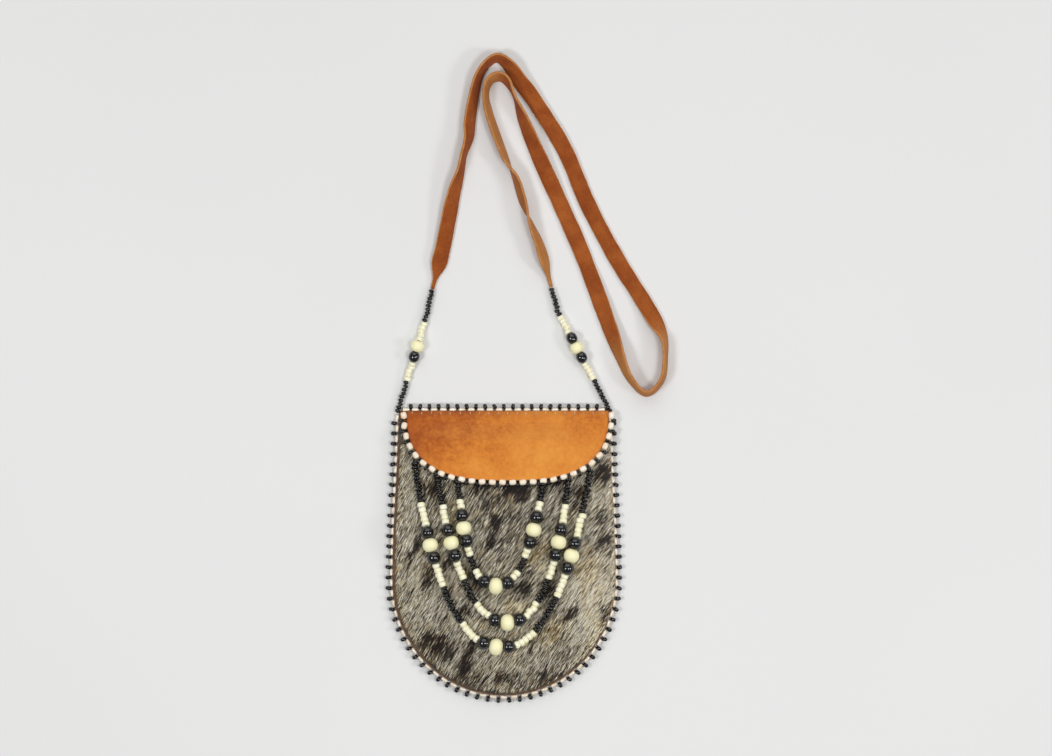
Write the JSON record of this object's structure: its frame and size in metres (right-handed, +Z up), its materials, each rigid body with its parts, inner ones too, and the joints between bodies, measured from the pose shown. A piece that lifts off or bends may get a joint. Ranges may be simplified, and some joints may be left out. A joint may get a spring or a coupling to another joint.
{
  "type": "beaded purse",
  "caption": "Small sealskin purse with a suede flap, beaded edges, hanging bead swags and a suede shoulder strap.",
  "frame": {"origin": "on the surface that the purse lies on, under the middle of its pouch", "axes": "+X across the pouch, +Y from its round bottom towards the strap, +Z up from the back to the furry front"},
  "size_m": [0.1423, 0.326, 0.022],
  "materials": {
    "sealskin": "short hair, lying in one direction, grey-olive with dark spots",
    "back_hide": "matt tan hide",
    "flap_suede": "orange-tan suede, mottled",
    "strap_suede": "reddish-brown suede with paler cut edges",
    "edge_beads": "cream and black glass beads in turn",
    "strung_beads": "glossy black glass with runs of cream",
    "round_beads": "glossy black",
    "wood_beads": "pale yellow, satin"
  },
  "bodies": {
    "pouch": {"back_panel": "back_hide", "front_panel": "sealskin", "side_edging": "edge_beads", "top_edging": "edge_beads", "strap": "strap_suede", "strap_left_strand": "strung_beads", "strap_left_bead_1": "round_beads", "strap_left_bead_2": "wood_beads", "strap_right_strand": "strung_beads", "strap_right_bead_1": "round_beads", "strap_right_bead_2": "wood_beads", "strap_right_bead_3": "round_beads"},
    "flap": {"flap": "flap_suede", "flap_edging": "edge_beads"},
    "swag_outer": {"swag_outer_strand": "strung_beads", "swag_outer_bead_1": "round_beads", "swag_outer_bead_2": "wood_beads", "swag_outer_bead_3": "round_beads", "swag_outer_bead_4": "round_beads", "swag_outer_bead_5": "wood_beads", "swag_outer_bead_6": "round_beads", "swag_outer_bead_7": "round_beads", "swag_outer_bead_8": "wood_beads", "swag_outer_bead_9": "round_beads"},
    "swag_middle": {"swag_middle_strand": "strung_beads", "swag_middle_bead_1": "round_beads", "swag_middle_bead_2": "wood_beads", "swag_middle_bead_3": "round_beads", "swag_middle_bead_4": "round_beads", "swag_middle_bead_5": "wood_beads", "swag_middle_bead_6": "round_beads", "swag_middle_bead_7": "round_beads", "swag_middle_bead_8": "wood_beads", "swag_middle_bead_9": "round_beads"},
    "swag_inner": {"swag_inner_strand": "strung_beads", "swag_inner_bead_1": "round_beads", "swag_inner_bead_2": "wood_beads", "swag_inner_bead_3": "round_beads", "swag_inner_bead_4": "round_beads", "swag_inner_bead_5": "wood_beads", "swag_inner_bead_6": "round_beads", "swag_inner_bead_7": "round_beads", "swag_inner_bead_8": "wood_beads", "swag_inner_bead_9": "round_beads"}
  },
  "joints": [
    {"name": "flap_hinge", "type": "hinge", "parent": "pouch", "child": "flap", "pos_m": [0, 0.0712, 0.0034], "axis": [-1, 0, 0], "range_deg": [0, 130]},
    {"name": "swag_outer_hang", "type": "hinge", "parent": "flap", "child": "swag_outer", "pos_m": [0, 0.0429, 0.0072], "axis": [-1, 0, 0], "range_deg": [-130, 0]},
    {"name": "swag_middle_hang", "type": "hinge", "parent": "flap", "child": "swag_middle", "pos_m": [0, 0.0374, 0.0103], "axis": [-1, 0, 0], "range_deg": [-130, 0]},
    {"name": "swag_inner_hang", "type": "hinge", "parent": "flap", "child": "swag_inner", "pos_m": [0, 0.0349, 0.0117], "axis": [-1, 0, 0], "range_deg": [-130, 0]}
  ],
  "couplings": [
    {"joint": "swag_outer_hang", "follows": "flap_hinge", "ratio": -1},
    {"joint": "swag_middle_hang", "follows": "flap_hinge", "ratio": -1},
    {"joint": "swag_inner_hang", "follows": "flap_hinge", "ratio": -1}
  ]
}
